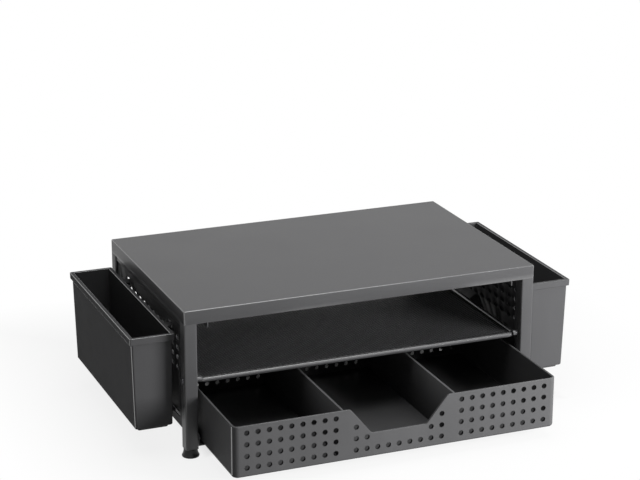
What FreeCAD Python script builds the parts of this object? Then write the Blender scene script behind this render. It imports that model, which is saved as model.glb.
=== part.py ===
"""Two-tier laptop stand with a pull-out drawer and two hung pen holders.

Frame: millimetres, +X to the right, +Y to the back, +Z up. The origin is the
point on the desk under the middle of the whole, with the drawer pulled out as
far as drawer_out. The helpers below take Y from the middle of the stand itself,
which lies middle_y behind the origin.
"""
import FreeCAD, Part
import math
import os
import re

# ---------------------------------------------------------------- sizes
# Driving dimensions, in millimetres. Each one can be changed by itself.
DRIVING = {
    # overall stand
    "stand_width": 355.0,
    "stand_depth": 228.0,
    "stand_height": 144.0,
    # folded top panel
    "top_sheet": 1.2,
    "skirt_height": 13.0,
    "top_corner_round": 1.4,
    "top_edge_round": 0.8,
    "fold_clearance": 0.15,
    # legs, square tube
    "leg_side": 12.4,
    "leg_wall": 1.0,
    "leg_round": 1.5,
    # feet, flared plastic plugs
    "foot_height": 8.0,
    "foot_neck_radius": 6.5,
    "foot_base_radius": 8.2,
    "foot_bevel": 0.9,
    "foot_plug_screw_gap": 0.8,
    "foot_plug_clearance": 0.1,
    # side rails, inverted channels under the top panel
    "rail_sheet": 1.2,
    "rail_width": 22.3,
    "rail_drop": 5.4,
    # weld studs and nuts that hold the top panel
    "stud_diameter": 4.0,
    "stud_length": 9.0,
    "stud_spread": 120.0,
    "nut_across_flats": 7.0,
    "nut_height": 3.2,
    "bolt_clearance": 0.2,
    # side panels, perforated sheet
    "panel_sheet": 1.0,
    "panel_bottom": 23.5,
    "panel_flange": 8.5,
    "panel_slot_length": 8.0,
    "panel_slot_height": 4.2,
    "panel_pitch_y": 14.25,
    "panel_pitch_z": 9.7,
    "panel_rows": 4.0,
    "panel_row_rise": 7.1,
    "panel_margin": 16.1,
    "panel_web": 1.2,
    # slots in the side panels for the pen holders
    "upper_slot_width": 12.0,
    "upper_slot_height": 6.0,
    "upper_slot_drop": 12.6,
    "upper_slot_spread": 130.0,
    "lower_slot_width": 24.0,
    "lower_slot_height": 6.3,
    "lower_slot_rise": 8.3,
    "lower_slot_inset": 24.2,
    # middle shelf
    "shelf_level": 73.3,
    "rim_wire": 4.8,
    "rim_setback": 7.0,
    "rim_side_gap": 0.3,
    "rim_corner": 8.0,
    "mesh_sheet": 1.2,
    "support_wire": 3.4,
    "support_spread": 110.0,
    # threaded lugs at the rim's corners, and the screws
    "lug_diameter": 5.0,
    "lug_length": 5.4,
    "lug_rise": 1.6,
    "lug_grip": 3.4,
    "screw_diameter": 3.0,
    "screw_head_diameter": 6.0,
    "screw_head_height": 1.6,
    "screw_clearance": 0.2,
    # drawer runners
    "runner_sheet": 1.2,
    "runner_height": 12.4,
    "runner_ledge": 16.0,
    "runner_end_gap": 2.0,
    "runner_gap": 0.2,
    "runner_screw_rise": 5.7,
    "stop_height": 9.0,
    "stop_gap": 0.4,
    # drawer tray
    "drawer_side_gap": 4.2,
    "drawer_back_gap": 26.0,
    "drawer_headroom": 9.9,
    "drawer_rise": 3.5,
    "drawer_out": 82.0,
    "drawer_wall": 2.4,
    "drawer_floor": 2.2,
    "drawer_corner": 6.0,
    "drawer_foot_round": 2.5,
    "divider_sheet": 2.4,
    "divider_offset": 55.6,
    "notch_top_width": 96.6,
    "notch_bottom_width": 54.8,
    "notch_depth": 25.9,
    # round holes of the drawer's front and back
    "drawer_hole": 4.5,
    "drawer_hole_side_margin": 12.84,
    "drawer_hole_low_margin": 9.1,
    "drawer_hole_top_margin": 6.68,
    "drawer_hole_web": 1.5,
    "drawer_group_gap": 19.9,
    "drawer_groups": 3.0,
    "drawer_columns": 9.0,
    "drawer_rows": 4.0,
    # pen holders
    "holder_rise": 6.4,
    "holder_drop": 5.2,
    "holder_gap": 4.5,
    "holder_width": 42.8,
    "holder_end_gap": 13.25,
    "holder_wall": 2.0,
    "holder_floor": 2.2,
    "holder_corner": 2.0,
    "holder_rim_corner": 1.2,
    "holder_foot_round": 1.4,
    "holder_rim_height": 6.4,
    "holder_rim_lip": 1.7,
    "holder_taper_outer": 2.4,
    "holder_taper_end": 0.9,
    "holder_step_height": 2.6,
    "holder_step_inset": 3.5,
    "hook_width": 10.0,
    "hook_neck": 3.0,
    "hook_drop": 2.6,
    "hook_tongue": 1.6,
    "hook_fit": 0.3,
    "hook_seat_gap": 0.1,
    "peg_width": 8.0,
    "peg_height": 2.4,
    "peg_shift": 7.4,
}

# Sizes that follow from the driving ones, as formulas of the sheet.
DERIVED = {
    "half_width": "stand_width / 2",
    "half_depth": "stand_depth / 2",
    "middle_y": "(drawer_out + leg_side / 2 - foot_base_radius) / 2",
    "skirt_bottom": "stand_height - skirt_height",
    "top_under": "stand_height - top_sheet",
    "leg_inner": "half_width - leg_side",
    "leg_back": "half_depth - leg_side",
    "rail_outer": "half_width - top_sheet - fold_clearance",
    "rail_inner": "rail_outer - rail_width",
    "rail_bottom": "skirt_bottom - rail_drop",
    "rail_middle": "(rail_outer + rail_inner) / 2",
    "rail_ceiling": "top_under - rail_sheet",
    "panel_face": "rail_outer - rail_sheet",
    "panel_back": "panel_face - panel_sheet",
    "panel_top": "rail_ceiling - fold_clearance",
    "upper_slot_bottom": "rail_bottom - upper_slot_drop",
    "lower_slot_bottom": "panel_bottom + lower_slot_rise",
    "panel_first_row": "shelf_level + panel_row_rise",
    "rim_radius": "rim_wire / 2",
    "rim_half_x": "leg_inner - rim_side_gap - rim_radius",
    "rim_half_y": "half_depth - rim_setback",
    "rim_bottom": "shelf_level - rim_radius",
    "lug_level": "shelf_level + lug_rise",
    "leg_middle_y": "half_depth - leg_side / 2",
    "drawer_bottom": "foot_height + drawer_rise",
    "runner_top": "drawer_bottom - runner_gap",
    "runner_screw_level": "runner_top + runner_screw_rise",
    "runner_face": "leg_inner - runner_sheet",
    "foot_plug_top": "runner_screw_level - screw_diameter / 2 - foot_plug_screw_gap",
    "drawer_width": "2 * (leg_inner - drawer_side_gap)",
    "drawer_depth": "stand_depth - drawer_back_gap",
    "drawer_top": "rim_bottom - drawer_headroom",
    "drawer_front": "-half_depth - drawer_out",
    "drawer_back": "drawer_front + drawer_depth",
    "drawer_closed_back": "-half_depth + drawer_depth",
    "drawer_half": "drawer_width / 2",
    "cavity_bottom": "drawer_bottom + drawer_floor",
    "drawer_first_row": "drawer_bottom + drawer_hole_low_margin",
    "drawer_hole_run": "drawer_width - 2 * drawer_hole_side_margin - 2 * drawer_group_gap",
    "drawer_pitch_x": "drawer_hole_run / (drawer_groups * (drawer_columns - 1))",
    "drawer_pitch_z": "(drawer_top - drawer_hole_top_margin - drawer_first_row) / (drawer_rows - 1)",
    "holder_top": "upper_slot_bottom + holder_rise",
    "holder_bottom": "lower_slot_bottom - holder_drop",
    "holder_inner": "half_width + holder_gap",
    "holder_outer": "holder_inner + holder_width",
    "holder_half": "half_depth - holder_end_gap",
    "body_inner": "holder_inner + holder_rim_lip",
    "body_outer": "holder_outer - holder_rim_lip",
    "body_half": "holder_half - holder_rim_lip",
    "lower_slot_y": "leg_back - lower_slot_inset",
    "peg_y": "lower_slot_y - peg_shift",
}

OVERSHOOT = 1  # how far a cutter reaches past the face that it opens

doc = FreeCAD.newDocument("laptop_stand")
sheet = doc.addObject("Spreadsheet::Sheet", "Sizes")
ALIASES = re.compile(r"\b(" + "|".join(list(DRIVING) + list(DERIVED)) + r")\b")


def fill_sheet():
    """Write every driving number and every formula into the sheet."""
    row = 1
    for alias, value in DRIVING.items():
        sheet.set("A%d" % row, alias)
        sheet.set("B%d" % row, str(value))
        sheet.setAlias("B%d" % row, alias)
        row += 1
    for alias, formula in DERIVED.items():
        sheet.set("A%d" % row, alias)
        sheet.set("B%d" % row, "=" + formula)
        sheet.setAlias("B%d" % row, alias)
        row += 1
    doc.recompute()


def size(alias):
    """The value of one cell of the sheet."""
    return float(sheet.get(alias))


def bind(item, prop, formula):
    """Bind one property to a formula of the sheet's sizes."""
    item.setExpression(prop, ALIASES.sub(r"Sizes.\1", str(formula)))


# ---------------------------------------------------------------- shapes
def set_base(item, base):
    """Place an item at formulas of X, Y and Z, with Y from the stand's middle."""
    for axis, formula in zip("xyz", base):
        offset = "middle_y + " if axis == "y" else ""
        bind(item, "Placement.Base." + axis, "%s%s" % (offset, formula))


def block(name, x_span, y_span, z_span):
    """A box between pairs of formulas along X, Y and Z."""
    item = doc.addObject("Part::Box", name)
    spans = (x_span, y_span, z_span)
    for prop, (low, high) in zip(("Length", "Width", "Height"), spans):
        bind(item, prop, "(%s) - (%s)" % (high, low))
    set_base(item, [low for low, high in spans])
    return item


TURN = {
    "x": FreeCAD.Rotation(FreeCAD.Vector(0, 1, 0), 90),
    "y": FreeCAD.Rotation(FreeCAD.Vector(1, 0, 0), -90),
    "z": FreeCAD.Rotation(),
}


def rod(name, radius, length, base, along="z"):
    """A cylinder that starts at base and runs along +X, +Y or +Z."""
    item = doc.addObject("Part::Cylinder", name)
    item.Placement = FreeCAD.Placement(FreeCAD.Vector(), TURN[along])
    bind(item, "Radius", radius)
    bind(item, "Height", length)
    set_base(item, base)
    return item


def cone(name, low_radius, high_radius, height, base):
    """An upright cone frustum."""
    item = doc.addObject("Part::Cone", name)
    bind(item, "Radius1", low_radius)
    bind(item, "Radius2", high_radius)
    bind(item, "Height", height)
    set_base(item, base)
    return item


def tapered(name, z_span, low_x, low_y, high_x, high_y):
    """A block whose section changes evenly from its low to its high end."""
    item = doc.addObject("Part::Wedge", name)
    item.Placement = FreeCAD.Placement(
        FreeCAD.Vector(), FreeCAD.Rotation(FreeCAD.Vector(1, 0, 0), 90))
    set_base(item, ("0", "0", "0"))
    bind(item, "Ymin", z_span[0])
    bind(item, "Ymax", z_span[1])
    bind(item, "Xmin", low_x[0])
    bind(item, "Xmax", low_x[1])
    bind(item, "X2min", high_x[0])
    bind(item, "X2max", high_x[1])
    bind(item, "Zmin", "-(%s)" % low_y[1])
    bind(item, "Zmax", "-(%s)" % low_y[0])
    bind(item, "Z2min", "-(%s)" % high_y[1])
    bind(item, "Z2max", "-(%s)" % high_y[0])
    return item


def cut(name, base, tool):
    item = doc.addObject("Part::Cut", name)
    item.Base = base
    item.Tool = tool
    return item


def fuse(name, pieces):
    item = doc.addObject("Part::MultiFuse", name)
    item.Shapes = pieces
    item.Refine = True
    return item


def group(name, pieces):
    """Separate solids in one object."""
    item = doc.addObject("Part::Compound", name)
    item.Links = pieces
    return item


def mirrored(name, source, across):
    """A mirror copy, across the plane at right angles to X or Y."""
    item = doc.addObject("Part::Mirroring", name)
    item.Source = source
    item.Base = FreeCAD.Vector(0, size("middle_y"), 0)
    item.Normal = FreeCAD.Vector(1, 0, 0) if across == "x" else FreeCAD.Vector(0, 1, 0)
    return item


def rounded(name, base, radius, wanted):
    """Round the edges for which wanted(edge) is true."""
    doc.recompute()
    item = doc.addObject("Part::Fillet", name)
    item.Base = base
    edges = []
    for number, edge in enumerate(base.Shape.Edges, start=1):
        if wanted(edge):
            edges.append((number, radius, radius))
    item.Edges = edges
    return item


def steep(edge):
    """True for an edge that rises from the low to the high end."""
    first, last = edge.Vertexes[0].Point, edge.Vertexes[-1].Point
    return abs(last.z - first.z) > 0.5 * edge.Length


def level_at(height):
    """A test for the edges that lie at one height."""
    def test(edge):
        return all(abs(vertex.Z - height) < 1e-4 for vertex in edge.Vertexes)
    return test


def round_cutters(name, radius, length, starts):
    """Many equal round cutters along +Y as one object, for a perforation."""
    middle = FreeCAD.Vector(0, size("middle_y"), 0)
    along = FreeCAD.Vector(0, 1, 0)
    item = doc.addObject("Part::Feature", name)
    item.Shape = Part.makeCompound(
        [Part.makeCylinder(radius, length, middle + FreeCAD.Vector(*start), along) for start in starts])
    return item


# ---------------------------------------------------------------- sub-parts
def make_top_panel():
    """Sheet-steel top, folded down on four sides, with four weld studs."""
    blank = block("top_blank", ("-half_width", "half_width"), ("-half_depth", "half_depth"),
                  ("skirt_bottom", "stand_height"))
    corners = rounded("top_corners", blank, size("top_corner_round"), steep)
    edges = rounded("top_edges", corners, size("top_edge_round"), level_at(size("stand_height")))
    inside = block("top_inside", ("top_sheet - half_width", "half_width - top_sheet"),
                   ("top_sheet - half_depth", "half_depth - top_sheet"), ("skirt_bottom - %s" % OVERSHOOT, "top_under"))
    inside_round = rounded("top_inside_corners", inside, max(size("top_corner_round") - size("top_sheet"), 0.2), steep)
    shell = cut("top_shell", edges, inside_round)
    studs = []
    for side in ("-", ""):
        for end in ("-", ""):
            studs.append(rod("top_stud_%d" % len(studs), "stud_diameter / 2", "stud_length",
                             (side + "rail_middle", end + "stud_spread / 2", "top_under - stud_length")))
    return {"top_panel": fuse("top_panel", [shell] + studs)}


def make_legs():
    """Square tubes with screw holes, closed and stepped at the top to sit inside the skirt."""
    outer_x = ("-half_width", "-leg_inner")
    outer_y = ("-half_depth", "-leg_back")
    tube = block("leg_tube", outer_x, outer_y, ("foot_height", "skirt_bottom"))
    tube = rounded("leg_tube_round", tube, size("leg_round"), steep)
    neck = block("leg_neck", ("-rail_outer", "-leg_inner"), ("top_sheet + fold_clearance - half_depth", "-leg_back"),
                 ("skirt_bottom", "top_under"))
    bore = block("leg_bore", ("leg_wall - half_width", "-leg_inner - leg_wall"),
                 ("leg_wall - half_depth", "-leg_back - leg_wall"),
                 ("foot_height - %s" % OVERSHOOT, "skirt_bottom - leg_wall"))
    shelf_hole = rod("leg_shelf_hole", "screw_diameter / 2 + screw_clearance", "leg_side + 2 * leg_wall",
                     ("-half_width - leg_wall", "-leg_middle_y", "lug_level"), "x")
    runner_hole = rod("leg_runner_hole", "screw_diameter / 2", "2 * leg_wall",
                      ("-leg_inner - 1.5 * leg_wall", "-leg_middle_y", "runner_screw_level"), "x")
    blank = fuse("leg_blank", [tube, neck])
    legs = {"leg_front_left": cut("leg_front_left", blank, fuse("leg_tools", [bore, shelf_hole, runner_hole]))}
    legs["leg_front_right"] = mirrored("leg_front_right", legs["leg_front_left"], "x")
    legs["leg_rear_left"] = mirrored("leg_rear_left", legs["leg_front_left"], "y")
    legs["leg_rear_right"] = mirrored("leg_rear_right", legs["leg_rear_left"], "x")
    return legs


def make_feet():
    """Flared plastic feet whose square plugs fill the ends of the legs."""
    centre = ("leg_side / 2 - half_width", "leg_side / 2 - half_depth")
    bevel = cone("foot_bevel_cone", "foot_base_radius - foot_bevel", "foot_base_radius", "foot_bevel", centre + ("0",))
    flare = cone("foot_flare", "foot_base_radius", "foot_neck_radius", "foot_height - foot_bevel",
                 centre + ("foot_bevel",))
    inset = "leg_wall + foot_plug_clearance"
    plug = block("foot_plug", ("%s - half_width" % inset, "-leg_inner - (%s)" % inset),
                 ("%s - half_depth" % inset, "-leg_back - (%s)" % inset),
                 ("foot_height", "foot_plug_top"))
    feet = {"foot_front_left": fuse("foot_front_left", [bevel, flare, plug])}
    feet["foot_front_right"] = mirrored("foot_front_right", feet["foot_front_left"], "x")
    feet["foot_rear_left"] = mirrored("foot_rear_left", feet["foot_front_left"], "y")
    feet["foot_rear_right"] = mirrored("foot_rear_right", feet["foot_rear_left"], "x")
    return feet


def make_side_rails():
    """Inverted channels that carry the top panel between the legs."""
    reach = "half_depth - top_sheet - fold_clearance"
    blank = block("rail_blank", ("-rail_outer", "-rail_inner"), ("-(%s)" % reach, reach), ("rail_bottom", "top_under"))
    opened = "rail_bottom - %s" % OVERSHOOT
    hollow = block("rail_hollow", ("rail_sheet - rail_outer", "-rail_inner - rail_sheet"),
                   ("-half_depth", "half_depth"), (opened, "rail_ceiling"))
    tools = [hollow]
    for name, span in (("front", ("-half_depth", "-leg_back")), ("rear", ("leg_back", "half_depth"))):
        tools.append(block("rail_leg_notch_" + name, ("-half_width", "-leg_inner"), span, (opened, "stand_height")))
    for name, end in (("front", "-"), ("rear", "")):
        tools.append(rod("rail_stud_hole_" + name, "stud_diameter / 2 + bolt_clearance", "4 * rail_sheet",
                         ("-rail_middle", end + "stud_spread / 2", "rail_ceiling - rail_sheet")))
    left = cut("side_rail_left", blank, fuse("rail_tools", tools))
    return {"side_rail_left": left, "side_rail_right": mirrored("side_rail_right", left, "x")}


def make_top_nuts():
    """Four hex nuts on the weld studs, tight under the rails' ceilings."""
    nuts = []
    for side in ("-", ""):
        for end in ("-", ""):
            number = len(nuts)
            base = (side + "rail_middle", end + "stud_spread / 2", "rail_ceiling - nut_height")
            hexagon = doc.addObject("Part::Prism", "nut_hexagon_%d" % number)
            hexagon.Polygon = 6
            bind(hexagon, "Circumradius", "nut_across_flats / sqrt(3)")
            bind(hexagon, "Height", "nut_height")
            set_base(hexagon, base)
            thread = rod("nut_thread_%d" % number, "stud_diameter / 2", "nut_height", base)
            nuts.append(cut("nut_%d" % number, hexagon, thread))
    return {"top_nuts": group("top_nuts", nuts)}


def perforation_places():
    """Centres of the side panel's slots, in even rows and columns about the middle."""
    pitch_y, pitch_z = size("panel_pitch_y"), size("panel_pitch_z")
    reach = size("leg_back") - size("panel_margin")
    steps = math.floor(2 * reach / pitch_y + 1e-6)
    room = size("panel_slot_height") / 2 + size("panel_web")
    places = []
    for row in range(round(size("panel_rows"))):
        level = size("panel_first_row") + row * pitch_z
        if level + room < size("upper_slot_bottom"):
            places.extend(((column - steps / 2) * pitch_y, level) for column in range(steps + 1))
    return places


def obround_cutter(start, length, height, depth):
    """A slot-shaped cutter that lies along Y and runs from start along +X."""
    radius = height / 2
    half = length / 2 - radius

    def point(y, z):
        return start + FreeCAD.Vector(0, y, z)
    outline = Part.Wire([
        Part.makeLine(point(-half, -radius), point(half, -radius)),
        Part.Arc(point(half, -radius), point(half + radius, 0), point(half, radius)).toShape(),
        Part.makeLine(point(half, radius), point(-half, radius)),
        Part.Arc(point(-half, radius), point(-half - radius, 0), point(-half, -radius)).toShape(),
    ])
    return Part.Face(outline).extrude(FreeCAD.Vector(depth, 0, 0))


def make_side_panels():
    """Perforated sheets with a turned-in flange at each leg and four slots."""
    skin = block("panel_skin", ("-panel_face", "-panel_back"), ("-leg_back", "leg_back"), ("panel_bottom", "panel_top"))
    turned = ("-panel_back", "panel_flange - panel_back")
    front = block("panel_front_flange", turned, ("-leg_back", "panel_sheet - leg_back"),
                  ("panel_bottom", "rail_bottom"))
    rear = block("panel_rear_flange", turned, ("leg_back - panel_sheet", "leg_back"), ("panel_bottom", "rail_bottom"))
    blank = fuse("panel_blank", [skin, front, rear])
    through = ("-half_width", "-panel_back + panel_sheet")
    corner = FreeCAD.Vector(-size("half_width"), size("middle_y"), 0)
    depth = size("half_width") - size("panel_back") + size("panel_sheet")
    perforation = doc.addObject("Part::Feature", "panel_perforation")
    perforation.Shape = Part.makeCompound(
        [obround_cutter(corner + FreeCAD.Vector(0, y, z), size("panel_slot_length"), size("panel_slot_height"), depth)
         for y, z in perforation_places()])
    tools = [perforation]
    for level, middle in (("upper", "upper_slot_spread / 2"), ("lower", "lower_slot_y")):
        for end, side in (("front", "-"), ("rear", "")):
            centre = side + middle
            tools.append(block("panel_%s_slot_%s" % (level, end), through,
                               ("%s - %s_slot_width / 2" % (centre, level), "%s + %s_slot_width / 2" % (centre, level)),
                               (level + "_slot_bottom", "{0}_slot_bottom + {0}_slot_height".format(level))))
    body = blank
    for number, tool in enumerate(tools):
        last = number == len(tools) - 1
        body = cut("side_panel_left" if last else "panel_step_%d" % number, body, tool)
    return {"side_panel_left": body, "side_panel_right": mirrored("side_panel_right", body, "x")}


def make_shelf():
    """A rim of round wire, a flat mesh inside it and two wires under it."""
    radius, bend = size("rim_radius"), size("rim_corner")
    half_x, half_y, level = size("rim_half_x"), size("rim_half_y"), size("shelf_level")
    start = FreeCAD.Vector(0, size("middle_y") - half_y, level)
    section = Part.Wire(Part.makeCircle(radius, start, FreeCAD.Vector(1, 0, 0)))
    rim = doc.addObject("Part::Feature", "shelf_rim")
    rim.Shape = rim_path(half_x, half_y, bend, level).makePipeShell([section], True, True)
    inner_x, inner_y = "rim_half_x - rim_radius", "rim_half_y - rim_radius"
    mesh = block("mesh_blank", ("-(%s)" % inner_x, inner_x), ("-(%s)" % inner_y, inner_y),
                 ("shelf_level", "shelf_level + mesh_sheet"))
    mesh = rounded("shelf_mesh", mesh, max(bend - radius, 0.5), steep)
    wires = []
    for side in ("-", ""):
        wires.append(rod("support_wire_%d" % len(wires), "support_wire / 2", "2 * (%s)" % inner_y,
                         (side + "support_spread / 2", "-(%s)" % inner_y, "shelf_level - support_wire / 2"), "y"))
    return {"shelf_rim": rim, "shelf_mesh": mesh, "shelf_support_wires": group("shelf_support_wires", wires)}


def rim_path(half_x, half_y, bend, level):
    """The rim's centre line: four runs joined by quarter turns."""
    def point(x, y):
        return FreeCAD.Vector(x, size("middle_y") + y, level)

    def turn(centre_x, centre_y, start_angle):
        circle = Part.Circle(point(centre_x, centre_y), FreeCAD.Vector(0, 0, 1), bend)
        first = math.radians(start_angle)
        return Part.Arc(circle, first, first + math.pi / 2).toShape()

    flat_x, flat_y = half_x - bend, half_y - bend
    edges = [
        Part.makeLine(point(0, -half_y), point(flat_x, -half_y)),
        turn(flat_x, -flat_y, 270),
        Part.makeLine(point(half_x, -flat_y), point(half_x, flat_y)),
        turn(flat_x, flat_y, 0),
        Part.makeLine(point(flat_x, half_y), point(-flat_x, half_y)),
        turn(-flat_x, flat_y, 90),
        Part.makeLine(point(-half_x, flat_y), point(-half_x, -flat_y)),
        turn(-flat_x, -flat_y, 180),
        Part.makeLine(point(-flat_x, -half_y), point(0, -half_y)),
    ]
    return Part.Wire(edges)


def make_shelf_lugs(rim):
    """Threaded lugs between the legs and the rim's corners, saddled onto its wire."""
    pieces = []
    for name, end in (("front", "-"), ("rear", "")):
        base = ("-leg_inner", end + "leg_middle_y", "lug_level")
        body = rod("lug_body_" + name, "lug_diameter / 2", "lug_length", base, "x")
        thread = rod("lug_thread_" + name, "screw_diameter / 2", "lug_grip", base, "x")
        saddled = cut("lug_saddled_" + name, body, rim)
        pieces.append(cut("lug_" + name, saddled, thread))
    left = group("shelf_lugs_left", pieces)
    return {"shelf_lugs_left": left, "shelf_lugs_right": mirrored("shelf_lugs_right", left, "x")}


def screw(name, seat, length, end_sign, y_formula, z_formula):
    """A pan-head screw whose head sits on seat and whose shank runs along X."""
    if end_sign > 0:
        head_start, shank_start = "%s - screw_head_height" % seat, seat
    else:
        head_start, shank_start = seat, "%s - (%s)" % (seat, length)
    head = rod(name + "_head", "screw_head_diameter / 2", "screw_head_height", (head_start, y_formula, z_formula), "x")
    shank = rod(name + "_shank", "screw_diameter / 2", length, (shank_start, y_formula, z_formula), "x")
    blank = fuse(name + "_blank", [head, shank])
    doc.recompute()
    rim_x = size_of(head_start) if end_sign > 0 else size_of(head_start) + size("screw_head_height")

    def outer_rim(edge):
        return abs(edge.CenterOfMass.x - rim_x) < 1e-4 and edge.Closed
    return rounded(name, blank, size("screw_head_height") * 0.45, outer_rim)


def size_of(formula):
    """The number that a formula of the sheet's sizes stands for."""
    probe = doc.addObject("App::FeaturePython", "probe")
    probe.addProperty("App::PropertyFloat", "Value")
    bind(probe, "Value", formula)
    doc.recompute()
    value = probe.Value
    doc.removeObject(probe.Name)
    return value


def make_screws():
    """Long screws through the legs into the lugs, and short ones through the runners."""
    shelf, runner = [], []
    for end in ("-", ""):
        shelf.append(screw("shelf_screw_%d" % len(shelf), "-half_width", "leg_side + lug_grip", 1,
                           end + "leg_middle_y", "lug_level"))
        runner.append(screw("runner_screw_%d" % len(runner), "-runner_face", "runner_sheet + 2 * leg_wall", -1,
                            end + "leg_middle_y", "runner_screw_level"))
    shelf_left = group("shelf_screws_left", shelf)
    runner_left = group("runner_screws_left", runner)
    return {
        "shelf_screws_left": shelf_left,
        "shelf_screws_right": mirrored("shelf_screws_right", shelf_left, "x"),
        "runner_screws_left": runner_left,
        "runner_screws_right": mirrored("runner_screws_right", runner_left, "x"),
    }


def make_runners():
    """Angle runners on the legs' inner faces, with a stop turned up at the back."""
    reach = "half_depth - runner_end_gap"
    web = block("runner_web", ("-leg_inner", "-runner_face"), ("-(%s)" % reach, reach),
                ("runner_top - runner_sheet", "runner_top - runner_sheet + runner_height"))
    ledge = block("runner_ledge_plate", ("-leg_inner", "runner_ledge - leg_inner"), ("-(%s)" % reach, reach),
                  ("runner_top - runner_sheet", "runner_top"))
    stop = block("runner_stop", ("-runner_face", "runner_ledge - leg_inner"),
                 ("drawer_closed_back + stop_gap", "drawer_closed_back + stop_gap + runner_sheet"),
                 ("runner_top - runner_sheet", "runner_top + stop_height"))
    holes = []
    for name, end in (("front", "-"), ("rear", "")):
        holes.append(rod("runner_hole_" + name, "screw_diameter / 2", "4 * runner_sheet",
                         ("-leg_inner - runner_sheet", end + "leg_middle_y", "runner_screw_level"), "x"))
    left = cut("drawer_runner_left", fuse("runner_blank", [web, ledge, stop]), fuse("runner_holes", holes))
    return {"drawer_runner_left": left, "drawer_runner_right": mirrored("drawer_runner_right", left, "x")}


def drawer_hole_starts():
    """Starts of the groups of round holes, front and back, without those in the notch."""
    groups, columns, rows = (round(size("drawer_" + word)) for word in ("groups", "columns", "rows"))
    pitch_x, pitch_z = size("drawer_pitch_x"), size("drawer_pitch_z")
    group_step = (columns - 1) * pitch_x + size("drawer_group_gap")
    notch_floor = size("drawer_top") - size("notch_depth")
    slope = (size("notch_top_width") - size("notch_bottom_width")) / 2 / size("notch_depth")
    room = size("drawer_hole") / 2 + size("drawer_hole_web")
    front, back = [], []
    for group_number in range(groups):
        for column in range(columns):
            place = (group_number - (groups - 1) / 2) * group_step + (column - (columns - 1) / 2) * pitch_x
            for row in range(rows):
                level = size("drawer_first_row") + row * pitch_z
                edge = size("notch_bottom_width") / 2 + max(level - notch_floor, 0) * slope
                if level + room < notch_floor or abs(place) > edge + room:
                    front.append((place, size("drawer_front") - OVERSHOOT, level))
                back.append((place, size("drawer_back") - size("drawer_wall") - OVERSHOOT, level))
    return front, back


def make_drawer():
    """A moulded tray with a notched, perforated front and two dividers."""
    blank = block("tray_blank", ("-drawer_half", "drawer_half"), ("drawer_front", "drawer_back"),
                  ("drawer_bottom", "drawer_top"))
    corners = rounded("tray_corners", blank, size("drawer_corner"), steep)
    outer = rounded("tray_outer", corners, size("drawer_foot_round"), level_at(size("drawer_bottom")))
    inner_x = "drawer_half - drawer_wall"
    inner_y = ("drawer_front + drawer_wall", "drawer_back - drawer_wall")
    cavity = block("tray_cavity", ("-(%s)" % inner_x, inner_x), inner_y,
                   ("cavity_bottom", "drawer_top + %s" % OVERSHOOT))
    cavity = rounded("tray_cavity_corners", cavity, max(size("drawer_corner") - size("drawer_wall"), 0.5), steep)
    through = ("drawer_front - %s" % OVERSHOOT, "drawer_front + 2 * drawer_wall")
    notch = tapered("tray_notch", ("drawer_top - notch_depth", "drawer_top"),
                    ("-notch_bottom_width / 2", "notch_bottom_width / 2"), through,
                    ("-notch_top_width / 2", "notch_top_width / 2"), through)
    front, back = drawer_hole_starts()
    depth = size("drawer_wall") + 2 * OVERSHOOT
    holes = round_cutters("tray_holes", size("drawer_hole") / 2, depth, front + back)
    shell = cut("tray_shell", outer, cavity)
    notched = cut("tray_notched", shell, notch)
    parts = {"drawer_tray": cut("drawer_tray", notched, holes)}
    for name, side in (("left", "-"), ("right", "")):
        label = "drawer_divider_" + name
        parts[label] = block(label, ("%sdivider_offset - divider_sheet / 2" % side,
                                     "%sdivider_offset + divider_sheet / 2" % side),
                             inner_y, ("cavity_bottom", "drawer_top"))
    return parts


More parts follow.
